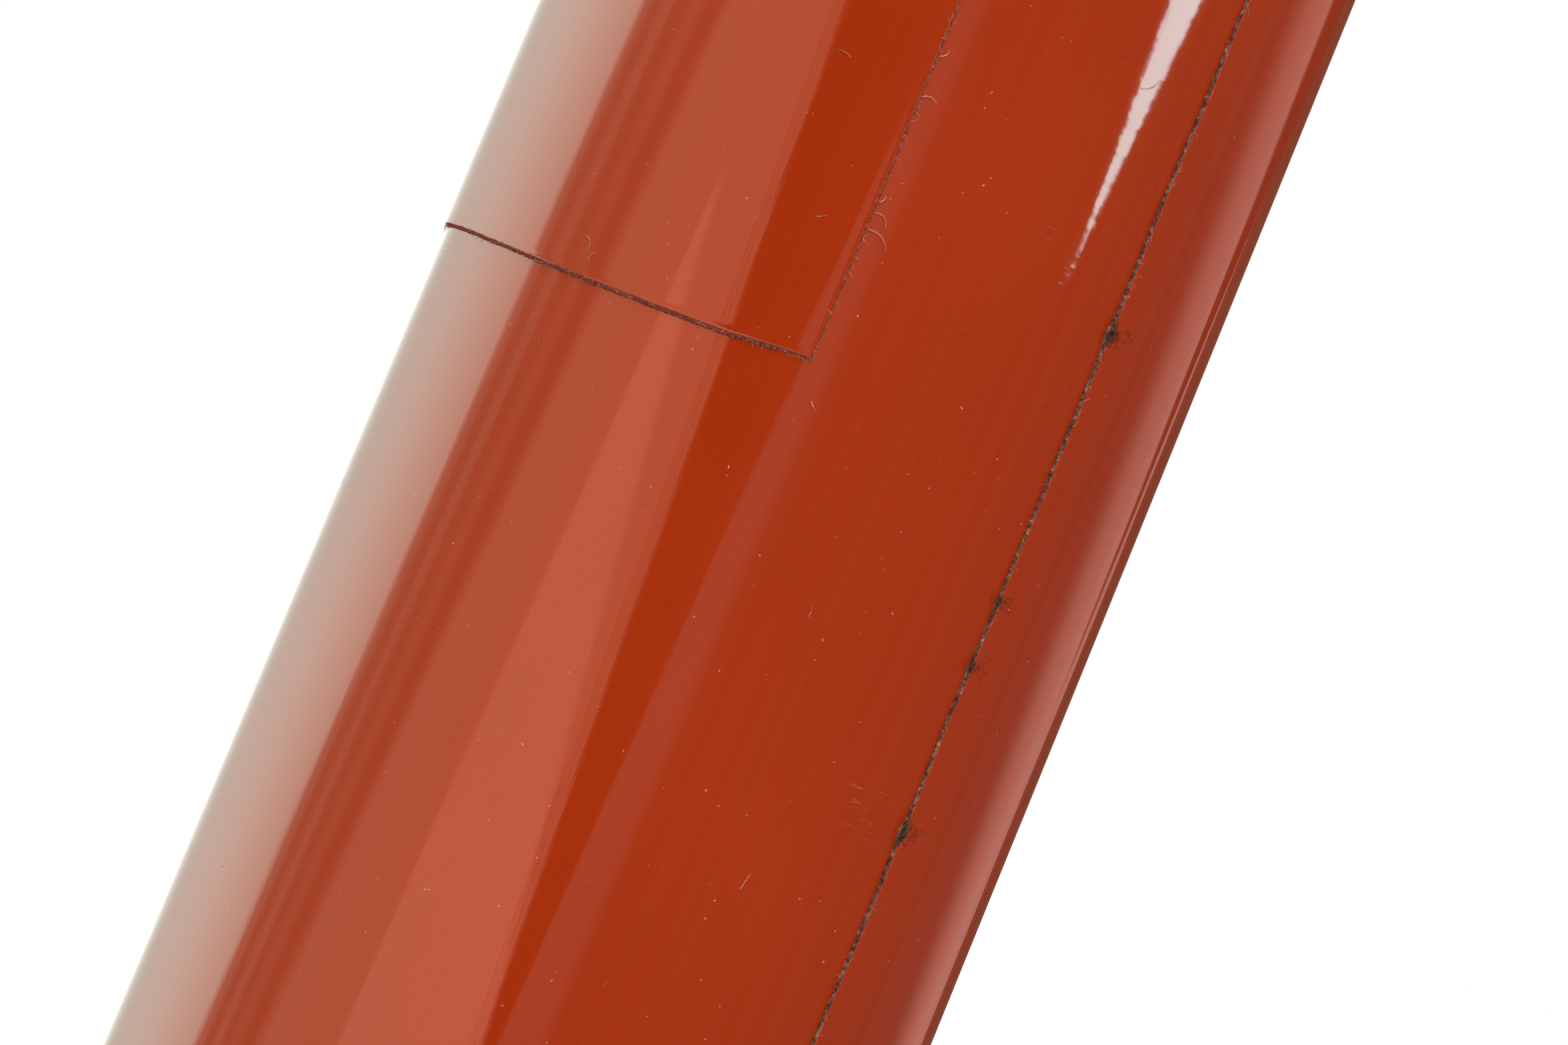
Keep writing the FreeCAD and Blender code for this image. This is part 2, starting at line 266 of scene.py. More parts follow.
def rolled_board():
    """Brown kraft board, wound in a spiral, with its winding's seam and long fibres."""
    made, g, shade = material("rolled_board")
    point = place(g)
    parts = g.add("ShaderNodeSeparateXYZ", {0: point})
    angle = g.math("ARCTAN2", parts.outputs[1], parts.outputs[0])
    wound = g.math("MULTIPLY_ADD", parts.outputs[2], 1 / 0.085, g.times(angle, 1 / TURN))
    seam_place = g.math("ABSOLUTE", g.math("SUBTRACT", g.math("FRACT", wound), 0.5))
    seam = g.step(seam_place, 0.0, 0.008, 1.0, 0.0)
    fibres = g.noise(g.scaled(point, (900.0, 900.0, 260.0)), 1.0, 4.0, 0.65)
    cloud = g.noise(point, 30.0, 3.0, 0.5)
    colour = g.ramp(g.math("MULTIPLY_ADD", fibres, 0.6, g.times(cloud, 0.4)), [
        (0.30, (0.23, 0.135, 0.072)), (0.50, (0.335, 0.215, 0.122)), (0.72, (0.45, 0.31, 0.19))])
    colour = g.mix(g.times(seam, 0.6), colour, (0.12, 0.07, 0.04))
    shade("Base Color", colour)
    shade("Roughness", g.step(fibres, 0.3, 0.7, 0.72, 0.9))
    normal = g.bump(seam, 0.6, 0.0003)
    shade("Normal", g.bump(fibres, 0.5, 0.0001, normal))
    return made


def lining_paper():
    """Cream paper with fibres, age spots and a little cockle."""
    made, g, shade = material("lining_paper")
    point = place(g)
    fibres = g.noise(point, 1400.0, 4.0, 0.65)
    age = g.noise(point, 26.0, 4.0, 0.6)
    colour = g.ramp(g.math("MULTIPLY_ADD", fibres, 0.35, g.times(age, 0.65)), [
        (0.30, (0.47, 0.38, 0.25)), (0.50, (0.66, 0.58, 0.43)), (0.70, (0.76, 0.69, 0.55))])
    shade("Base Color", colour)
    shade("Roughness", 0.85)
    normal = g.bump(g.noise(point, 60.0, 2.0, 0.5), 0.4, 0.0006)
    shade("Normal", g.bump(fibres, 0.4, 0.00008, normal))
    return made


def plated_steel(name, tint, brushed, dull):
    """Nickel-plated steel with brush marks, dull patches and pits.

    brushed gives the noise's scale along each axis, and dull the lowest roughness.
    """
    made, g, shade = material(name)
    point = place(g)
    brush = g.noise(g.scaled(point, brushed), 1.0, 3.0, 0.7)
    patch = g.noise(point, 120.0, 4.0, 0.6)
    pit = g.step(g.noise(point, 1700.0, 2.0, 0.5), 0.70, 0.76)
    dark = tuple(0.55 * part for part in tint)
    colour = g.mix(g.step(patch, 0.40, 0.75, 0.0, 0.55), tint, dark)
    colour = g.mix(g.times(pit, 0.7), colour, (0.10, 0.07, 0.05))
    rough = g.add_up(g.step(brush, 0.25, 0.75, dull, dull + 0.10), g.step(patch, 0.4, 0.8, 0, 0.14))
    shade("Base Color", colour)
    shade("Roughness", rough)
    shade("Metallic", 1.0)
    normal = g.bump(brush, 0.25, 0.00003)
    shade("Normal", g.bump(pit, -0.5, 0.00005, normal))
    return made


def grip_leather():
    """Dark brown leather: pebbled grain with dark creases, in lighter and darker clouds."""
    made, g, shade = material("grip_leather")
    point = place(g)
    edges = g.add("ShaderNodeTexVoronoi", {"Vector": point, "Scale": 980.0, "Randomness": 0.9},
                  feature="DISTANCE_TO_EDGE").outputs["Distance"]
    pebble = g.step(edges, 0.0, 0.30)
    cloud = g.noise(point, 38.0, 5.0, 0.62)
    fine = g.noise(point, 1500.0, 3.0, 0.6)
    colour = g.ramp(g.math("MULTIPLY_ADD", fine, 0.25, g.times(cloud, 0.75)), [
        (0.36, (0.036, 0.0125, 0.0058)), (0.52, (0.078, 0.0280, 0.0120)),
        (0.66, (0.165, 0.0650, 0.0290))])
    colour = g.mix(g.step(edges, 0.0, 0.14, 0.5, 0.0), colour, (0.012, 0.0050, 0.0030))
    shade("Base Color", colour)
    shade("Roughness", g.step(cloud, 0.35, 0.7, 0.52, 0.38))
    shade("Specular Tint", (1.0, 0.78, 0.64, 1.0))
    shade("Specular IOR Level", 0.38)
    normal = g.bump(fine, 0.6, 0.00012)
    shade("Normal", g.bump(pebble, 1.0, 0.00028, normal))
    return made


def thread():
    """Waxed thread with its twist."""
    made, g, shade = material("thread")
    point = place(g)
    twist = g.add("ShaderNodeTexWave", {"Vector": point, "Scale": 900.0, "Distortion": 1.0},
                  bands_direction="DIAGONAL").outputs["Fac"]
    colour = g.ramp(twist, [(0.0, (0.30, 0.21, 0.12)), (1.0, (0.62, 0.50, 0.34))])
    shade("Base Color", colour)
    shade("Roughness", 0.75)
    shade("Normal", g.bump(twist, 0.6, 0.0001))
    return made


DUSTY = {"Roughness": 0.95, "Specular IOR Level": 0.2}
RED = red_lacquer()
CORE = fibre_core()
# Pinkish lint, the dirt in a lap's seam and on its cut edge, and the seam's nearly black lumps.
LINT = fuzz("lint", (1600.0, 3.0, 0.7), [
    (0.30, (0.36, 0.14, 0.095)), (0.48, (0.66, 0.34, 0.25)), (0.66, (0.88, 0.64, 0.54))],
    {"Roughness": 0.9, "Specular IOR Level": 0.2})
GRIME = fuzz("seam_grime", (1500.0, 5.0, 0.8), [
    (0.36, (0.045, 0.022, 0.014)), (0.50, (0.180, 0.078, 0.048)),
    (0.60, (0.380, 0.185, 0.125)), (0.69, (0.82, 0.62, 0.52))],
    DUSTY, (0.9, 0.0002))
FLUFF = fuzz("dark_fluff", (1800.0, 3.0, 0.7), [
    (0.40, (0.026, 0.019, 0.017)), (0.60, (0.17, 0.085, 0.060))],
    DUSTY)
BOARD = rolled_board()
PAPER = lining_paper()
RIM = plated_steel("rim_steel", (0.56, 0.57, 0.57), (60.0, 60.0, 5200.0), 0.20)
TACK = plated_steel("tack_steel", (0.63, 0.62, 0.58), (400.0, 400.0, 400.0), 0.16)
FITTING = plated_steel("fitting_steel", (0.53, 0.55, 0.56), (2200.0, 2200.0, 120.0), 0.22)
RIVET = plated_steel("rivet_steel", (0.60, 0.61, 0.60), (500.0, 500.0, 500.0), 0.18)
LEATHER = grip_leather()
THREAD = thread()
FELT = fuzz("felt", (1800.0, 5.0, 0.75), [(0.3, (0.13, 0.12, 0.105)), (0.7, (0.40, 0.37, 0.33))],
            {"Roughness": 1.0, "Sheen Weight": 0.4}, (0.8, 0.0004))

CAD_FINISHES = {
    BOARD: ["body_core", "inner_tube", "base_board", "lid_core", "lid_board"],
    PAPER: ["inner_lining", "base_lining", "lid_lining"],
    RED: ["base_cover", "lid_top_cover"],
    RIM: ["base_rim", "lid_rim"],
    TACK: ["base_rim_tacks", "lid_rim_tacks"],
    FITTING: ["lug_lower", "lug_upper", "handle_strip"],
    RIVET: ["lug_rivets_lower", "lug_rivets_upper", "rivet_washers_lower",
            "rivet_washers_upper", "pivot_pin_lower", "pivot_pin_upper"],
}
for finish, names in CAD_FINISHES.items():
    for node_name in names:
        for material_slot in nodes[node_name].material_slots:
            material_slot.material = finish


# ---- mesh helpers -------------------------------------------------------------------------
def new_piece(name, points, faces, materials, indices=None, smooth=True):
    mesh = bpy.data.meshes.new(name)
    mesh.from_pydata([tuple(p) for p in points], [], faces)
    for one in materials:
        mesh.materials.append(one)
    if indices is not None:
        mesh.polygons.foreach_set("material_index", indices)
    mesh.polygons.foreach_set("use_smooth", [smooth] * len(mesh.polygons))
    mesh.validate()
    mesh.update()
    piece = bpy.data.objects.new(name, mesh)
    bpy.context.scene.collection.objects.link(piece)
    return piece


def closed(values):
    """A list with its first value again at its end."""
    return list(values) + [values[0]]


def zip_loops(inner, inner_places, outer, outer_places):
    """Triangles between two closed loops of points. Places say how far round each point is."""
    a, b = closed(inner), closed(outer)
    place_a, place_b = list(inner_places) + [4.0], list(outer_places) + [4.0]
    faces = []
    i = j = 0
    while i < len(inner) or j < len(outer):
        halfway_a = place_a[i] + place_a[min(i + 1, len(inner))]
        halfway_b = place_b[j] + place_b[min(j + 1, len(outer))]
        if j == len(outer) or (i < len(inner) and halfway_a <= halfway_b):
            faces.append((b[j], a[i + 1], a[i]))
            i += 1
        else:
            faces.append((b[j], b[j + 1], a[i]))
            j += 1
    return faces


def smooth_step(x):
    x = np.clip(x, 0.0, 1.0)
    return x * x * (3 - 2 * x)


def noise_at(x, y, seed):
    """Smooth noise between about -1 and 1 at each pair of values."""
    x, y = np.broadcast_arrays(np.asarray(x, float), np.asarray(y, float))
    values = [noise.noise(Vector((a, b, seed))) for a, b in zip(x.ravel(), y.ravel())]
    return np.array(values).reshape(x.shape)


def on_tube(radius, azimuth, height):
    return np.stack([radius * np.cos(azimuth), radius * np.sin(azimuth),
                     np.broadcast_to(height, np.shape(radius * np.cos(azimuth)))], -1)


# ---- covering sheets ----------------------------------------------------------------------
GRID_INSET = 1.6 * MM       # the even part of a sheet starts this far from its cut edges
NEXT_LINE = 1.4             # its next grid line is at least this many insets from the edge
RAGGED = 0.075 * MM         # how far the fibres of a cut edge stray along the sheet
ROUGH = 0.035 * MM          # how far they stand in or out
CALM_LENGTH = 0.8 * MM      # cut edges are less ragged this near a corner
# Rings of points from the lacquered face over the lip and down the cut edge:
# share of the bevel's width, share of the sheet's thickness, how ragged it is.
CUT_RINGS = [(2.5, 0.00, 0.0), (2.0, 0.00, 0.05), (1.5, -0.05, 0.15), (1.15, -0.02, 0.45),
             (1.0, 0.10, 0.8), (0.85, 0.30, 1.0), (0.55, 0.52, 1.2), (0.30, 0.76, 1.2),
             (0.0, 1.0, 0.7)]
LACQUERED_RINGS = 4         # the first steps between rings that are still red


def seam_drift(height):
    """How far a lap's cut edge strays round the tube from a straight line, as an angle."""
    sway = 0.8 * MM * np.sin(TURN * (height - PANEL_LOW + 33 * MM) / (520 * MM))
    return (sway + 0.16 * MM * noise_at(height / (11 * MM), 0, 6.6)) / COVER_R


def along_seam(azimuth, height):
    """Moves places near a lap's cut edge along with the edge."""
    near = smooth_step(1 - (azimuth - LAP_EDGE) / math.radians(12.0))
    return azimuth + near * seam_drift(height), height


def panel_low_edge(azimuth):
    """How far the panel's lower edge strays from square: it was cut by hand."""
    rise = smooth_step((math.radians(250.0) - azimuth) / math.radians(80.0))
    corner = smooth_step((azimuth - math.radians(256.0)) / math.radians(14.0))
    return (-0.95 + 3.5 * rise + 0.65 * corner) * MM


def along_low_edge(azimuth, height):
    """Moves places near the panel's lower edge along with the edge."""
    near = smooth_step(1 - (height - PANEL_LOW) / (14 * MM))
    return azimuth, height + near * panel_low_edge(azimuth)


def inner_lines(lines, inset):
    """The lines of a grid that keep clear of its cut edges, with a first and last at the inset."""
    low, high = lines[0], lines[-1]
    clear = (lines > low + NEXT_LINE * inset) & (lines < high - NEXT_LINE * inset)
    return np.concatenate([[low + inset], lines[clear], [high - inset]])


def cut_sheet(name, azimuths, heights, radius_at, bevels, spacings, place_at, cut_finish):
    """A sheet with ragged cut edges that lies on the tube.

    azimuths and heights are the lines of its grid, first and last at its cut edges. radius_at
    gives its outer radius, and place_at moves places along with a cut edge that isn't straight.
    bevels and spacings are for its bottom, right, top and left edges.
    """
    low_a, high_a = azimuths[0], azimuths[-1]
    low_z, high_z = heights[0], heights[-1]
    lines_a = inner_lines(azimuths, GRID_INSET / COVER_R)
    lines_z = inner_lines(heights, GRID_INSET)
    columns, rows = len(lines_a), len(lines_z)
    grid_a, grid_z = np.meshgrid(lines_a, lines_z, indexing="ij")
    outer_r = radius_at(grid_a, grid_z)
    placed_a, placed_z = place_at(grid_a, grid_z)
    points = [on_tube(outer_r, placed_a, placed_z).reshape(-1, 3),
              on_tube(outer_r - SHEET, placed_a, placed_z).reshape(-1, 3)]
    grid_size = columns * rows
    index = np.arange(grid_size).reshape(columns, rows)
    a, b, c, d = index[:-1, :-1], index[1:, :-1], index[1:, 1:], index[:-1, 1:]
    quads = np.stack([a, b, c, d], -1).reshape(-1, 4)
    faces = quads.tolist() + (quads[:, ::-1] + grid_size).tolist()

    outline = np.concatenate([index[:-1, 0], index[-1, :-1], index[:0:-1, -1], index[0, :0:-1]])
    share_a = (lines_a - lines_a[0]) / (lines_a[-1] - lines_a[0])
    share_z = (lines_z - lines_z[0]) / (lines_z[-1] - lines_z[0])
    outline_places = np.concatenate([share_a[:-1], 1 + share_z[:-1], 2 + 1 - share_a[:0:-1],
                                     3 + 1 - share_z[:0:-1]])

    lengths = [(high_a - low_a) * COVER_R, high_z - low_z] * 2
    counts = [max(8, int(length / spacing)) for length, spacing in zip(lengths, spacings)]
    side = np.concatenate([np.full(n, k) for k, n in enumerate(counts)])
    share = np.concatenate([np.arange(n) / n for n in counts])
    length = np.array(lengths)[side]
    from_corner = np.minimum(share, 1 - share) * length
    calm = smooth_step(from_corner / CALM_LENGTH)
    rng = np.random.default_rng(len(name))      # a fixed seed: the same edge each run
    along = (side + share) * 1000
    stray = 0.55 * noise_at(along * 0.9, 0, 3.1) + 0.45 * noise_at(along * 4.1, 1, 7.7)
    drift = 0.8 * noise_at(along * 0.08, 2, 1.3)

    start = 2 * grid_size
    count = len(side)
    for bevel_share, depth_share, ragged in CUT_RINGS:
        inset = [bevel_share * bevel for bevel in bevels]
        a0, a1 = low_a + inset[3] / COVER_R, high_a - inset[1] / COVER_R
        z0, z1 = low_z + inset[0], high_z - inset[2]
        on_side = [side == 0, side == 1, side == 2]
        ring_a = np.select(on_side, [a0 + (a1 - a0) * share, a1, a1 + (a0 - a1) * share], a0)
        ring_z = np.select(on_side, [z0, z0 + (z1 - z0) * share, z1], z1 + (z0 - z1) * share)
        fringe = rng.uniform(-1, 1, count)
        shift = calm * RAGGED * (ragged * (0.9 * stray + 0.55 * fringe) + 0.6 * drift)
        ring_a = ring_a + np.select([side == 1, side == 3], [-shift, shift], 0.0) / COVER_R
        ring_z = ring_z + np.select([side == 0, side == 2], [shift, -shift], 0.0)
        ring_r = radius_at(ring_a, ring_z) - depth_share * SHEET
        ring_r = ring_r + calm * ragged * ROUGH * rng.uniform(-1, 1, count)
        points.append(on_tube(ring_r, *place_at(ring_a, ring_z)))

    rings = [list(range(start + k * count, start + (k + 1) * count))
             for k in range(len(CUT_RINGS))]
    places = side + share
    faces += zip_loops(list(outline), outline_places, rings[0], places)
    indices = [0] * len(faces)
    for k, (upper, lower) in enumerate(zip(rings, rings[1:])):
        upper, lower = closed(upper), closed(lower)
        faces += [(lower[j], lower[j + 1], upper[j + 1], upper[j]) for j in range(count)]
        indices += [0 if k < LACQUERED_RINGS else 1] * count
    inside = zip_loops(list(outline + grid_size), outline_places, rings[-1], places)
    faces += [face[::-1] for face in inside]
    indices += [0] * len(inside)
    return new_piece(name, np.concatenate(points), faces, [RED, cut_finish], indices)


def waviness(azimuth, height, seed):
    """Slight waves in a sheet that is glued to board, longer along the tube than round it."""
    around = azimuth * COVER_R / (13 * MM)
    broad = noise_at(around, height / (55 * MM), seed)
    fine = noise_at(around * 3.3, height / (38 * MM), seed + 5)
    return (0.010 * broad + 0.0022 * fine) * MM


RIDGE_HEIGHT = 0.060 * MM   # the under end shows through the sheet above it as a low ridge
RIDGE_WIDTH = 0.55 * MM     # of its slope before the crest; past it the slope is half as wide
CREST_BACK = 0.15 * MM      # the crest stands this far before the under end
LAP_BEVELS = [0.06 * MM, 0.05 * MM, 0.06 * MM, 0.08 * MM]
LAP_SPACINGS = [0.9 * MM, 6 * MM, 0.9 * MM, 0.3 * MM]   # the right edge is hidden


def lapped_radius(seed):
    """Outer radius of a sheet that is wrapped once round and lapped over its own under end."""
    def radius_at(azimuth, height):
        wander = (0.30 * noise_at(height / (34 * MM), 0, seed + 2)
                  + 0.10 * noise_at(height / (7 * MM), 0, seed + 3)) * MM
        past_crest = azimuth - UNDER_END + (wander + CREST_BACK) / COVER_R
        climb = np.clip(1 - past_crest / LAP_RAMP, 0.0, 1.0) ** 2.2
        rise = np.where(past_crest < 0, past_crest * COVER_R / RIDGE_WIDTH,
                        past_crest * COVER_R / (0.5 * RIDGE_WIDTH))
        ridge = RIDGE_HEIGHT * np.exp(-0.5 * rise ** 2)
        return COVER_R + (LAP_R - COVER_R) * climb + ridge + waviness(azimuth, height, seed)
    return radius_at


def lapped_sheet(name, low, high, seed):
    """The red sheet of the body or the lid, with more grid lines near its ridge."""
    even = np.arange(LAP_EDGE, UNDER_END + TURN, math.radians(2.4))
    near_ridge = UNDER_END + np.radians(np.arange(-6.0, 8.1, 0.35))
    even = even[(even < near_ridge[0] - 0.01) | (even > near_ridge[-1] + 0.01)]
    azimuths = np.sort(np.concatenate([even, near_ridge, [UNDER_END + TURN]]))
    heights = np.linspace(low, high, int((high - low) / (3.5 * MM)))
    return cut_sheet(name, azimuths, heights, lapped_radius(seed), LAP_BEVELS, LAP_SPACINGS,
                     along_seam, GRIME)


DROOP_WIDTH = 6.5 * MM      # the panel's sheet turns down a little towards its side edges
DROOP_DEPTH = 0.14 * MM
CURL_LENGTH = 14 * MM       # it turns down most within this height of its lower edge
PANEL_SIDE = 1.5 * math.pi + 0.4 * MM / PANEL_R     # the panel's side edge on the front
END_BEVEL = 0.42 * MM       # of the panel's lower and upper cut edges
SIDE_BEVEL = 0.28 * MM      # of its side edges


def panel_sheet(name):
    """The second layer of sheet under the handle."""
    half = PANEL_SIDE - math.pi
    azimuths = np.linspace(math.pi - half, PANEL_SIDE, 110)
    heights = np.linspace(PANEL_LOW, PANEL_HIGH, 150)

    def radius_at(azimuth, height):
        wavy = 0.010 * MM * noise_at(azimuth * COVER_R / (9 * MM), height / (7 * MM), 31.0)
        from_side = (half - np.abs(azimuth - math.pi)) * PANEL_R
        near_edge = np.clip(1 - from_side / DROOP_WIDTH, 0.0, 1.0)
        curled = 0.3 + 0.7 * np.exp(-(height - PANEL_LOW) / CURL_LENGTH)
        droop = DROOP_DEPTH * curled * near_edge ** 2
        return PANEL_R + waviness(azimuth, height, 21.0) + wavy - droop
    return cut_sheet(name, azimuths, heights, radius_at, [END_BEVEL, SIDE_BEVEL] * 2,
                     [0.3 * MM] * 4, along_low_edge, CORE)


cover_low, cover_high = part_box("body_cover")[0].z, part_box("body_cover")[1].z
lid_low, lid_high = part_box("lid_cover")[0].z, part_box("lid_cover")[1].z
COVERS = [
    (lapped_sheet("cover_sheet", cover_low, cover_high, 4.0), "body_cover", "body"),
    (lapped_sheet("lid_sheet", lid_low, lid_high, 11.0), "lid_cover", "lid"),
    (panel_sheet("panel_sheet"), "handle_panel", "body"),
]
for piece, node_name, body in COVERS:
    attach(piece, body)
    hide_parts(node_name)


# ---- dirt in the seam, lint and stray fibres ----------------------------------------------
# Long hairs at the panel's side edge: height over its corner, heading, length, curl.
HAIRS = [(14.4 * MM, 0.15, 3.6 * MM, -1.7), (16.2 * MM, 0.35, 2.7 * MM, -2.6),
         (17.4 * MM, 0.5, 1.1 * MM, 1.6), (29.0 * MM, 0.6, 2.0 * MM, -1.8),
         (33.5 * MM, 0.2, 1.6 * MM, 2.0), (44.0 * MM, -0.2, 2.4 * MM, 2.2)]
# Hairs that lie on the sheets: place round from the panel's side edge, height over its corner,
# heading, length, curl.
LOOSE_HAIRS = [
    (-27.5 * MM, 2.4 * MM, 1.2, 3.4 * MM, 3.6), (-26.6 * MM, 1.2 * MM, 2.2, 1.8 * MM, -2.4),
    (-5.4 * MM, 13.6 * MM, 0.35, 1.3 * MM, 0.3), (-8.3 * MM, 30.0 * MM, 2.6, 1.9 * MM, 1.0),
    (1.4 * MM, -3.8 * MM, -0.9, 1.6 * MM, 0.4), (9.6 * MM, -24.0 * MM, 1.4, 1.6 * MM, 0.7),
    (21.8 * MM, 40.0 * MM, 0.2, 3.2 * MM, 1.4), (14.0 * MM, -52.0 * MM, 1.5, 2.2 * MM, -0.4)]
# Lumps of lint along the seam: height and size.
LUMPS = [(PANEL_LOW + 15.5 * MM, 0.34 * MM), (PANEL_LOW - 41.0 * MM, 0.28 * MM),
         (PANEL_LOW - 22.5 * MM, 0.13 * MM), (PANEL_LOW - 15.0 * MM, 0.11 * MM),
         (PANEL_LOW + 96.0 * MM, 0.24 * MM), (PANEL_LOW + 188.0 * MM, 0.30 * MM),
         (PANEL_LOW - 120.0 * MM, 0.26 * MM)]
HAIR_R = 0.052 * MM
LOOSE_HAIR_R = 0.044 * MM
SIDE_FIBRES, END_FIBRES, LAP_FIBRES = 620, 420, 230
BODY_DUST, LID_DUST = 340, 60
DIRT_STEP = 0.45 * MM
DIRT_R = (0.020 * MM, 0.55 * MM)    # its least and greatest radius
DIRT_ROUGH = 0.03 * MM


def tube_mesh(paths, sides):
    """Closed tubes. Each path is a list of points and the tube's radius at each of them."""
    points, faces = [], []
    for path, widths in paths:
        path = [Vector(p) for p in path]
        first = len(points)
        for k, (spot, width) in enumerate(zip(path, widths)):
            ahead = path[min(k + 1, len(path) - 1)] - path[max(k - 1, 0)]
            ahead.normalize()
            out = Vector((spot.x, spot.y, 0)).normalized()
            side = ahead.cross(out).normalized()
            out = side.cross(ahead)
            for s in range(sides):
                turn = TURN * s / sides
                points.append(spot + width * (math.cos(turn) * side + math.sin(turn) * out))
        for k in range(len(path) - 1):
            for s in range(sides):
                a, b = first + k * sides + s, first + k * sides + (s + 1) % sides
                faces.append((a, a + sides, b + sides, b))
        last = first + (len(path) - 1) * sides
        faces.append(tuple(range(first, first + sides)))
        faces.append(tuple(range(last + sides - 1, last - 1, -1)))
    return points, faces


def tubes_piece(name, paths, sides, finish):
    return new_piece(name, *tube_mesh(paths, sides), [finish])


def fibre(azimuth, height, heading, length, curl, width, radius):
    """A stray fibre that lies on the sheet, from a place and a heading, with an even curl."""
    steps = 9
    path, widths = [], []
    for k in range(steps):
        share = k / (steps - 1)
        path.append(tuple(on_tube(np.array(radius + (0.4 + 2.5 * math.sin(math.pi * share)) * width),
                                  np.array(azimuth), height)))
        widths.append(width * (1 - 0.6 * share))
        step = length / steps
        azimuth += step * math.cos(heading) / radius
        height += step * math.sin(heading)
        heading += curl / steps
    return path, widths


def seam_dirt(name, low, high, seed, lumps):
    """Dirt and glue along the foot of a lap's cut edge, with lumps where lint has caught."""
    heights = np.arange(low + 1 * MM, high - 1 * MM, DIRT_STEP)
    rough = noise_at(heights / (1.3 * MM), 0, seed) + 0.7 * noise_at(heights / (0.5 * MM), 1, seed)
    heaped = noise_at(heights / (14 * MM), 5, seed)
    widths = (0.030 + 0.050 * rough + 0.060 * heaped) * MM
    for lump_at, size in lumps:
        from_lump = (heights - lump_at) / (1.1 * size + 0.3 * MM)
        widths = widths + size * np.exp(-0.5 * from_lump ** 2)
    widths = np.clip(widths, *DIRT_R)
    foot = LAP_EDGE + seam_drift(heights) + (0.05 * MM - 0.4 * widths) / COVER_R
    foot = foot + 0.06 * MM * noise_at(heights / (2.2 * MM), 3, seed) / COVER_R
    radius = COVER_R + 0.25 * widths
    path = on_tube(radius, foot, heights)
    points, faces = tube_mesh([(path.tolist(), widths.tolist())], 7)
    rng = np.random.default_rng(5)
    points = [p + Vector(rng.uniform(-1, 1, 3) * DIRT_ROUGH) for p in points]
    return new_piece(name, points, faces, [GRIME])


def edge_fibres():
    """Fibres that have come loose from the cut edges, and single hairs on the sheets."""
    paths = []
    for _ in range(SIDE_FIBRES):
        height = random.uniform(PANEL_LOW, PANEL_HIGH)
        sign = random.choice((-1, 1))
        edge = PANEL_SIDE if sign > 0 else TURN - PANEL_SIDE
        heading = random.choice((0, math.pi)) + random.uniform(-1.2, 1.2)
        inwards = SIDE_BEVEL * sign * random.random() / PANEL_R
        paths.append(fibre(edge - inwards, height, heading, random.uniform(0.25, 0.9) * MM,
                           random.uniform(-3, 3), random.uniform(0.014, 0.030) * MM,
                           PANEL_R - random.uniform(0.0, 0.25) * MM))
    for _ in range(END_FIBRES):
        azimuth = random.uniform(math.pi / 2, PANEL_SIDE)
        height = random.choice((PANEL_LOW, PANEL_HIGH))
        inwards = END_BEVEL * random.random() * (1 if height == PANEL_LOW else -1)
        if height == PANEL_LOW:
            inwards += panel_low_edge(azimuth)
        paths.append(fibre(azimuth, height + inwards, random.uniform(0, TURN),
                           random.uniform(0.2, 0.8) * MM, random.uniform(-3, 3),
                           random.uniform(0.014, 0.028) * MM,
                           PANEL_R - random.uniform(0.0, 0.3) * MM))
    for height, heading, length, curl in HAIRS:
        paths.append(fibre(PANEL_SIDE, PANEL_LOW + height, heading, length, curl,
                           HAIR_R, PANEL_R))
    for around, height, heading, length, curl in LOOSE_HAIRS:
        radius = PANEL_R if height > 0 and around < 0 else COVER_R
        paths.append(fibre(PANEL_SIDE + around / PANEL_R, PANEL_LOW + height, heading, length,
                           curl, LOOSE_HAIR_R, radius))
    for _ in range(LAP_FIBRES):
        height = random.uniform(cover_low, cover_high)
        edge = LAP_EDGE + float(seam_drift(np.array(height)))
        paths.append(fibre(edge, height, random.uniform(-2.2, 2.2),
                           random.uniform(0.4, 1.6) * MM, random.uniform(-2.5, 2.5),
                           random.uniform(0.012, 0.024) * MM, LAP_R))
    return paths


def lint_tufts():
    """Lint that has caught in the seam: strands along the edge, and a tangle past it."""
    paths = []
    for lump_at, size in LUMPS:
        edge = LAP_EDGE + float(seam_drift(np.array(lump_at)))
        for _ in range(int(60 * size / (0.3 * MM))):
            paths.append(fibre(edge + random.gauss(-0.06, 0.09) * MM / LAP_R,
                               lump_at + random.gauss(0, 2.6) * size,
                               random.gauss(TURN / 4, 0.35),
                               random.uniform(0.4, 1.1) * MM, random.uniform(-2, 2),
                               random.uniform(0.030, 0.055) * MM, LAP_R))
        for _ in range(int(70 * size / (0.3 * MM))):
            away = abs(random.gauss(0, 1.1)) * MM
            azimuth = edge + (away - 0.2 * MM) / LAP_R
            height = lump_at + (random.gauss(0, 0.55) + 0.25 * away / MM) * MM
            paths.append(fibre(azimuth, height, random.uniform(0, TURN),
                               random.uniform(0.3, 1.0) * MM, random.uniform(-4, 4),
                               random.uniform(0.018, 0.034) * MM, LAP_R))
    return paths


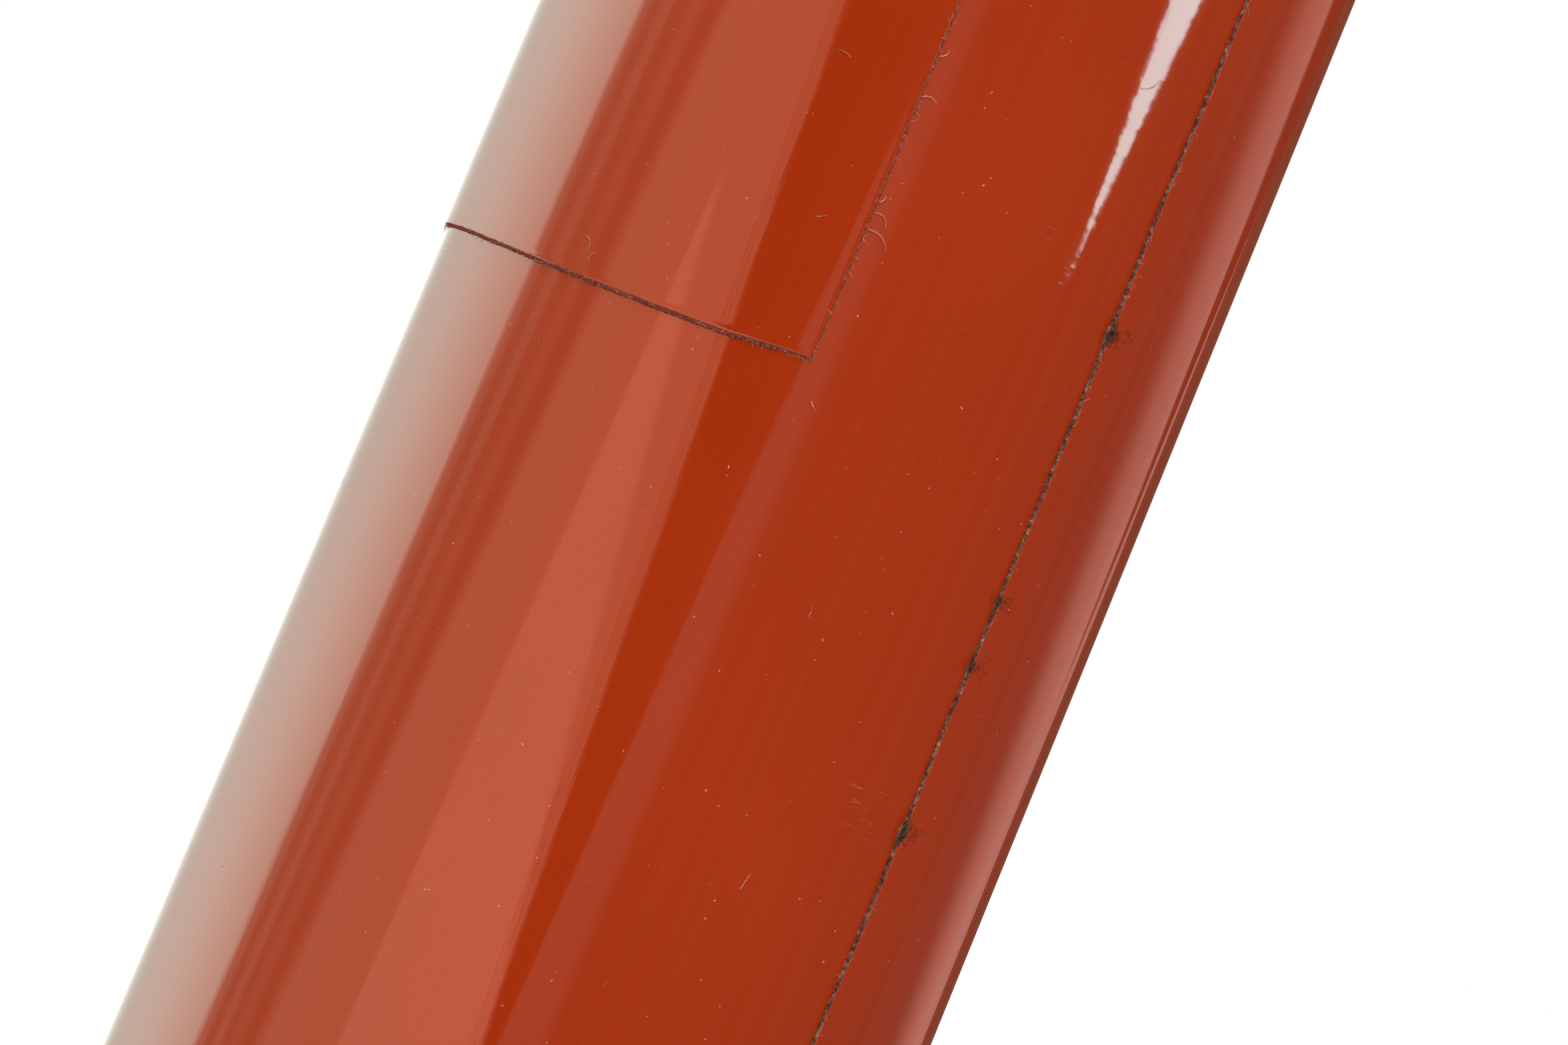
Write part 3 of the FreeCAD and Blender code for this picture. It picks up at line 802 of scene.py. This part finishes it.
def dust_fibres(count, low, high):
    """Short fibres of dust, scattered over a sheet's whole surface."""
    paths = []
    for _ in range(count):
        azimuth = random.uniform(LAP_EDGE + LAP_RAMP, UNDER_END + TURN)
        height = random.uniform(low, high)
        on_panel = math.cos(azimuth) < 0.02 and PANEL_LOW < height < PANEL_HIGH
        on_lap = azimuth < UNDER_END
        radius = PANEL_R if on_panel else LAP_R if on_lap else COVER_R
        paths.append(fibre(azimuth, height, random.uniform(0, TURN),
                           random.uniform(0.15, 0.9) * MM, random.gauss(0, 1.2),
                           random.uniform(0.010, 0.020) * MM, radius))
    return paths


dirt = seam_dirt("seam_dirt", cover_low, cover_high, 2.0, LUMPS)
lid_dirt = seam_dirt("lid_seam_dirt", lid_low, lid_high, 8.0, [(lid_low + 38 * MM, 0.2 * MM)])
loose = tubes_piece("edge_fibres", edge_fibres(), 4, LINT)
tufts = tubes_piece("lint_tufts", lint_tufts(), 4, FLUFF)
dust = tubes_piece("dust_fibres", dust_fibres(BODY_DUST, cover_low, cover_high), 3, LINT)
lid_dust = tubes_piece("lid_dust_fibres", dust_fibres(LID_DUST, lid_low, lid_high), 3, LINT)
for piece, body in ((dirt, "body"), (loose, "body"), (tufts, "body"), (dust, "body"),
                    (lid_dirt, "lid"), (lid_dust, "lid")):
    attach(piece, body)


# ---- handle grip --------------------------------------------------------------------------
grip_low, grip_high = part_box("handle_leather")
GRIP_X = (grip_low.x + grip_high.x) / 2
GRIP_LOW, GRIP_HIGH = grip_low.z, grip_high.z
GRIP_MIDDLE = (GRIP_LOW + GRIP_HIGH) / 2
GRIP_HALF = (GRIP_HIGH - GRIP_LOW) / 2
GRIP_HALF_Y = grip_high.y
GRIP_HALF_X = (grip_high.x - grip_low.x) / 2
LEATHER_THICK = grip_high.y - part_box("handle_padding")[1].y
ENDS_SLIMMER = 2.4 * MM     # the grip is slimmer by this at its ends
SQUARENESS = 0.92           # power that makes the grip's section a little squarer than an ellipse
SEAM_CURVE = 0.55 * GRIP_HALF_Y     # radius that turns an angle near the seam into a distance
SEAM_DEPTH = 0.55 * MM
SEAM_WIDTH = 0.55 * MM
STITCHES = 21
STITCH_HALF = 2.0 * MM      # how far a stitch reaches on either side
THREAD_R = 0.30 * MM
CREASES = (4.5 * MM, 6.3 * MM)      # tooled lines, this far from each end of the grip
CREASE_DEPTH = 0.28 * MM
CREASE_WIDTH = 0.38 * MM


def grip_swell(share):
    """0 at the grip's ends and 1 at its middle; share runs from -1 to 1."""
    return np.clip(1 - np.abs(share) ** 3.4, 0, 1) ** 0.8


def grip_section(share, turn, inset):
    """A point of the grip's surface. turn 0 faces the tube, where the leather is sewn."""
    slim = (1 - grip_swell(share)) * ENDS_SLIMMER + inset
    half_x, half_y = GRIP_HALF_X - slim, GRIP_HALF_Y - slim
    x = GRIP_X + half_x * np.sign(np.cos(turn)) * np.abs(np.cos(turn)) ** SQUARENESS
    y = half_y * np.sign(np.sin(turn)) * np.abs(np.sin(turn)) ** SQUARENESS
    return x, y


def band(low, high, around):
    """Faces between two rings of points, whose first points have these two numbers."""
    return [(low + s, low + (s + 1) % around, high + (s + 1) % around, high + s)
            for s in range(around)]


def grip_leather_piece():
    """The sewn leather, a sleeve: its outside, a rounded lip at each end, and its inside."""
    around, along, along_inside, lip = 144, 260, 12, 6
    turns = np.arange(around) * TURN / around
    lip_r = LEATHER_THICK / 2
    half = GRIP_HALF - lip_r
    rows = []       # each row's share of the length, height, inset, and 1 where it is outside
    for k in range(along + 1):
        share = -1 + 2 * k / along
        rows.append((share, GRIP_MIDDLE + share * half, 0.0, 1.0))
    for k in range(1, lip):
        angle = math.pi * k / lip
        height = GRIP_MIDDLE + half + lip_r * math.sin(angle)
        rows.append((1.0, height, lip_r * (1 - math.cos(angle)), 0.0))
    for k in range(along_inside + 1):
        share = 1 - 2 * k / along_inside
        rows.append((share, GRIP_MIDDLE + share * half, LEATHER_THICK, 0.0))
    for k in range(1, lip):
        angle = math.pi * k / lip
        height = GRIP_MIDDLE - half - lip_r * math.sin(angle)
        rows.append((-1.0, height, lip_r * (1 + math.cos(angle)), 0.0))
    points = []
    for share, z, inset, skin in rows:
        signed = (turns + math.pi) % TURN - math.pi
        from_seam = np.abs(signed) * SEAM_CURVE
        valley = SEAM_DEPTH * np.exp(-(from_seam / SEAM_WIDTH) ** 2)
        puff = -0.25 * MM * np.exp(-((from_seam - 2.3 * MM) / (1.2 * MM)) ** 2)
        stitch_phase = math.cos(TURN * STITCHES * (z - GRIP_LOW) / (GRIP_HIGH - GRIP_LOW))
        pull = 0.16 * MM * max(0.0, -stitch_phase)
        pucker = pull * np.exp(-((from_seam - 1.9 * MM) / (0.7 * MM)) ** 2)
        crease = 0.0
        for line_at in CREASES:
            from_line = min(z - GRIP_LOW, GRIP_HIGH - z) - line_at
            crease += CREASE_DEPTH * math.exp(-(from_line / CREASE_WIDTH) ** 2)
        hide = noise_at(np.cos(turns) * 1.6 + 5, z / (16 * MM) + np.sin(turns), 3.0)
        wrinkle = noise_at(np.cos(turns) * 2.5, z / (3.2 * MM) + 0.8 * np.sin(turns), 9.0)
        inner_side = smooth_step((np.cos(turns) - 0.1) / 0.6)
        relief = valley + puff + pucker + crease - 0.16 * MM * hide - 0.09 * MM * wrinkle * inner_side
        x, y = grip_section(share, turns, inset + skin * relief)
        points.append(np.stack([x, y, np.full(around, z)], -1))
    faces = []
    for k in range(len(rows)):
        faces += band(k * around, (k + 1) % len(rows) * around, around)
    return new_piece("grip_leather", np.concatenate(points), faces, [LEATHER])


def grip_felt_piece():
    """Felt between the strip and the leather, crowned where it shows at the grip's ends."""
    around, rings = 96, 8
    crown = 1.5 * MM
    turns = np.arange(around) * TURN / around
    inner = LEATHER_THICK + 0.05 * MM
    points, crowned = [], []
    for k in range(rings):
        shrink = math.cos(math.pi / 2 * k / rings)
        height = GRIP_MIDDLE - GRIP_HALF + crown * shrink ** 2
        crowned.append((-1.0, height, 1 - 0.93 * (k / rings)))
    straight = [(share, GRIP_MIDDLE + share * (GRIP_HALF - 1.6 * MM), 1.0)
                for share in np.linspace(-1, 1, 25)]
    top = [(1.0, 2 * GRIP_MIDDLE - z, scale) for _, z, scale in crowned]
    rows = crowned[::-1] + straight + top
    for share, z, scale in rows:
        x, y = grip_section(share, turns, inner)
        x = GRIP_X + (x - GRIP_X) * scale
        y = y * scale
        fuzz = 0.05 * MM * noise_at(turns * 9, np.full(around, z * 900), 4.0)
        points.append(np.stack([x + fuzz, y + fuzz, np.full(around, z)], -1))
    count = len(rows)
    faces = [tuple(range(around - 1, -1, -1)),
             tuple((count - 1) * around + s for s in range(around))]
    for k in range(count - 1):
        faces += band(k * around, (k + 1) * around, around)
    return new_piece("grip_felt", np.concatenate(points), faces, [FELT])


def grip_stitches_piece():
    """Waxed thread over the seam of the grip: slanted stitches that dip into their holes."""
    paths = []
    pitch = 2 * GRIP_HALF / STITCHES
    for k in range(2, STITCHES - 2):
        centre = GRIP_LOW + (k + 0.5) * pitch
        for lean in (1, -1):
            path, widths = [], []
            for j in range(9):
                across = -1 + j / 4
                z = centre + lean * across * 0.42 * pitch
                share = (z - GRIP_MIDDLE) / GRIP_HALF
                turn = across * STITCH_HALF / SEAM_CURVE
                sink = 0.9 * MM * abs(across) ** 5 - 0.28 * MM - (0.12 * MM if lean > 0 else 0)
                x, y = grip_section(share, np.array([turn]), sink)
                path.append((x[0], y[0], z))
                widths.append(THREAD_R)
            paths.append((path, widths))
    return tubes_piece("grip_stitching", paths, 8, THREAD)


grip = grip_leather_piece()
felt_pad = grip_felt_piece()
stitching = grip_stitches_piece()
for piece, slot_name in ((grip, "handle_leather"), (felt_pad, "felt"),
                         (stitching, "handle_leather")):
    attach(piece, "handle")
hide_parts("handle_leather")
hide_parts("handle_padding")


# ---- floor, light and camera --------------------------------------------------------------
VIEW_TURN = math.radians(269.23)    # side of the tube that the camera looks at
VIEW_DISTANCE = 302.7 * MM          # from the tube's axis
VIEW_BELOW_PANEL = 27.84 * MM       # camera below the panel's lower edge
VIEW_YAW = math.radians(0.99)
VIEW_PITCH = math.radians(2.59)
VIEW_ROLL = math.radians(22.44)
VIEW_LENS = 59.2
FLOOR_SIZE = 12.0


def add_camera():
    """The photo's view, worked out looking along +Y and then turned to VIEW_TURN."""
    data = bpy.data.cameras.new("view")
    data.lens = VIEW_LENS
    data.sensor_width = 36.0
    data.clip_start = 0.01
    camera = bpy.data.objects.new("view", data)
    bpy.context.scene.collection.objects.link(camera)
    place_turn = Matrix.Rotation(VIEW_TURN + math.pi / 2, 3, "Z")
    ahead = Vector((math.sin(VIEW_YAW) * math.cos(VIEW_PITCH),
                    math.cos(VIEW_YAW) * math.cos(VIEW_PITCH), math.sin(VIEW_PITCH)))
    level = Vector((math.cos(VIEW_YAW), -math.sin(VIEW_YAW), 0))
    above = level.cross(ahead)
    right = math.cos(VIEW_ROLL) * level + math.sin(VIEW_ROLL) * above
    up = math.cos(VIEW_ROLL) * above - math.sin(VIEW_ROLL) * level
    axes = Matrix((place_turn @ right, place_turn @ up, place_turn @ -ahead)).transposed()
    spot = place_turn @ Vector((0, -VIEW_DISTANCE, PANEL_LOW - VIEW_BELOW_PANEL))
    camera.matrix_world = Matrix.Translation(spot) @ axes.to_4x4()
    bpy.context.scene.camera = camera


def add_floor():
    """A pale floor that glows more the further it is from the object, so it has no horizon."""
    made, g, shade = material("studio_floor")
    point = place(g)
    cloud = g.noise(point, 3.0, 2.0, 0.5)
    shade("Base Color", g.ramp(cloud, [(0.3, (0.86, 0.86, 0.855)), (0.7, (0.89, 0.89, 0.885))]))
    shade("Roughness", 0.9)
    shade("Emission Color", (1, 1, 1, 1))
    away = g.add("ShaderNodeVectorMath", {0: point}, operation="LENGTH").outputs["Value"]
    shade("Emission Strength", g.step(away, 0.15, 0.9, 0.10, 1.0))
    half = FLOOR_SIZE / 2
    corners = [(-half, -half, 0), (half, -half, 0), (half, half, 0), (-half, half, 0)]
    floor = new_piece("floor", corners, [(0, 1, 2, 3)], [made], smooth=False)
    floor.visible_glossy = False
    floor.visible_diffuse = False


# What the gloss reflects round the tube, as steps from one brightness to the next. Each step has
# its angle from the camera's side at the horizon, half its softness, how far it leans for each
# degree of height, and the brightness past it. Angles are in degrees, to the right.
BEHIND = (1.18, 1.18, 1.03)
WHITE_SHEET = (3.8, 4.45, 3.95)
PALE_WALL = (2.35, 1.86, 1.45)
DIM_ROOM = (0.16, 0.22, 0.20)
LIGHT_STEPS = [
    (-126.0, 28.0, 0.0, WHITE_SHEET),
    (-94.2, 1.3, 0.228, (2.0, 1.43, 1.16)),
    (-90.6, 0.8, 0.228, (1.4, 0.96, 0.68)),
    (-86.5, 0.9, 0.26, (2.0, 1.39, 1.08)),
    (-83.0, 0.8, 0.30, (1.4, 0.87, 0.60)),
    (-78.5, 1.8, 0.40, (1.7, 1.21, 0.90)),
    (-74.5, 1.2, 0.45, (1.3, 0.79, 0.59)),
    (-68.0, 3.0, 0.47, PALE_WALL),
    (-21.1, 0.25, -0.76, (1.45, 0.75, 0.48)),
    (-20.6, 0.25, -0.76, PALE_WALL),
    (-19.8, 0.25, -0.76, (1.45, 0.75, 0.48)),
    (-19.3, 0.25, -0.76, PALE_WALL),
    (-18.0, 0.9, -0.76, (0.0, 0.0, 0.0)),
    (-2.2, 0.7, 0.34, (0.55, 0.73, 0.72)),
    (7.0, 2.6, 0.1, DIM_ROOM),
    (119.5, 7.0, -0.495, (1.30, 0.75, 0.64)),
    (137.4, 0.8, -0.40, (0.26, 0.080, 0.050)),
    (179.0, 2.0, 0.0, BEHIND),
]
# Edges of a card and a lamp: lean, and the angles where each edge starts and ends.
CARD_LEFT, CARD_RIGHT = (0.31, -46.2, -44.8), (-1.68, -28.2, -25.8)
LAMP_LEFT, LAMP_RIGHT = (-0.58, 71.3, 71.9), (1.12, 51.6, 52.4)
LAMP_TOP, LAMP_FOOT = (24.0, 26.0), (9.8, 10.8)     # heights where those edges start and end
PINK_CARD = (1.5, 0.90, 0.85)       # added to the pale wall
LAMP = (8.6, 17.0, 20.0)
OVERHEAD = (1.25, 1.25, 1.2)
FLOOR_GLOW = (0.95, 0.95, 0.9)
SOFT_LIGHT = 0.33                   # light from all round on matt surfaces


def add_world():
    """The surroundings, which only glossy rays see in full. The camera sees plain white."""
    world = bpy.data.worlds.new("studio")
    bpy.context.scene.world = world
    world.use_nodes = True
    world.node_tree.nodes.clear()
    g = Graph(world.node_tree)
    direction = g.add("ShaderNodeTexCoord").outputs["Generated"]
    turned = g.add("ShaderNodeVectorRotate", {"Vector": direction, "Angle": -VIEW_TURN},
                   rotation_type="Z_AXIS").outputs[0]
    parts = g.add("ShaderNodeSeparateXYZ", {0: turned})
    azimuth = g.math("DEGREES", g.math("ARCTAN2", parts.outputs[1], parts.outputs[0]))
    height = g.math("DEGREES", g.math("ARCSINE", parts.outputs[2]))

    def leaning(lean):
        return g.math("MULTIPLY_ADD", height, -lean, azimuth)

    light = BEHIND
    for angle, soft, lean, after in LIGHT_STEPS:
        light = g.mix(g.step(leaning(lean), angle - soft, angle + soft), light, after)
    card = g.times(g.step(leaning(CARD_LEFT[0]), *CARD_LEFT[1:]),
                   g.step(leaning(CARD_RIGHT[0]), *CARD_RIGHT[1:], 1.0, 0.0))
    light = g.mix(card, light, PINK_CARD, "ADD")
    torn = g.add("ShaderNodeTexNoise", {"W": height, "Scale": 3.6, "Detail": 2.0},
                 noise_dimensions="1D").outputs[0]
    torn_left = g.math("MULTIPLY_ADD", torn, 1.1, leaning(LAMP_LEFT[0]))
    torn_right = g.math("MULTIPLY_ADD", torn, -2.2, leaning(LAMP_RIGHT[0]))
    lamp = g.times(g.step(torn_left, *LAMP_LEFT[1:]), g.step(torn_right, *LAMP_RIGHT[1:], 1.0, 0.0),
                   g.step(height, *LAMP_TOP, 1.0, 0.0), g.step(height, *LAMP_FOOT))
    streaks = g.add("ShaderNodeTexNoise", {"W": leaning(0.15), "Scale": 0.22, "Detail": 3.0},
                    noise_dimensions="1D").outputs[0]
    amount = g.times(g.step(azimuth, 4.0, 12.0), g.step(azimuth, 105.0, 115.0, 1.0, 0.0))
    uneven = g.math("MULTIPLY_ADD", amount, g.step(streaks, 0.30, 0.70, -0.28, 0.28), 1.0)
    grey = g.add("ShaderNodeCombineXYZ", {0: uneven, 1: uneven, 2: uneven}).outputs[0]
    light = g.mix(1.0, light, grey, "MULTIPLY")
    light = g.mix(lamp, light, LAMP)
    light = g.mix(g.step(height, 35.0, 60.0), light, OVERHEAD)
    light = g.mix(g.step(height, -60.0, -25.0, 1.0, 0.0), light, FLOOR_GLOW)
    path = g.add("ShaderNodeLightPath")
    light = g.mix(path.outputs["Is Glossy Ray"], (SOFT_LIGHT,) * 3, light)
    light = g.mix(path.outputs["Is Camera Ray"], light, (1.0, 1.0, 1.0))
    back = g.add("ShaderNodeBackground", {"Color": light, "Strength": 1.0})
    g.add("ShaderNodeOutputWorld", {0: back.outputs[0]})


LIGHT_DISTANCE = 2.2


def add_soft_light(name, angle, height, size, strength):
    """A wide light, angle degrees to the right of the camera's side, height over the middle."""
    data = bpy.data.lights.new(name, "AREA")
    data.shape = "SQUARE"
    data.size = size
    data.energy = strength
    lamp = bpy.data.objects.new(name, data)
    bpy.context.scene.collection.objects.link(lamp)
    turn = VIEW_TURN + math.radians(angle)
    middle = Vector((0, 0, (cad_bounds[0][2] + cad_bounds[1][2]) / 2))
    away = Vector((LIGHT_DISTANCE * math.cos(turn), LIGHT_DISTANCE * math.sin(turn), height))
    facing = away.to_track_quat("Z", "Y").to_matrix().to_4x4()
    lamp.matrix_world = Matrix.Translation(middle + away) @ facing
    lamp.visible_camera = False
    lamp.visible_glossy = False


add_soft_light("key_light", 4.0, 2.2, 2.0, 46.0)
add_soft_light("fill_light", 4.0, 0.1, 0.8, 16.2)
add_soft_light("back_light", 180.0, 2.2, 2.0, 62.0)
add_camera()
add_floor()
add_world()
bpy.context.scene.view_settings.view_transform = "Standard"
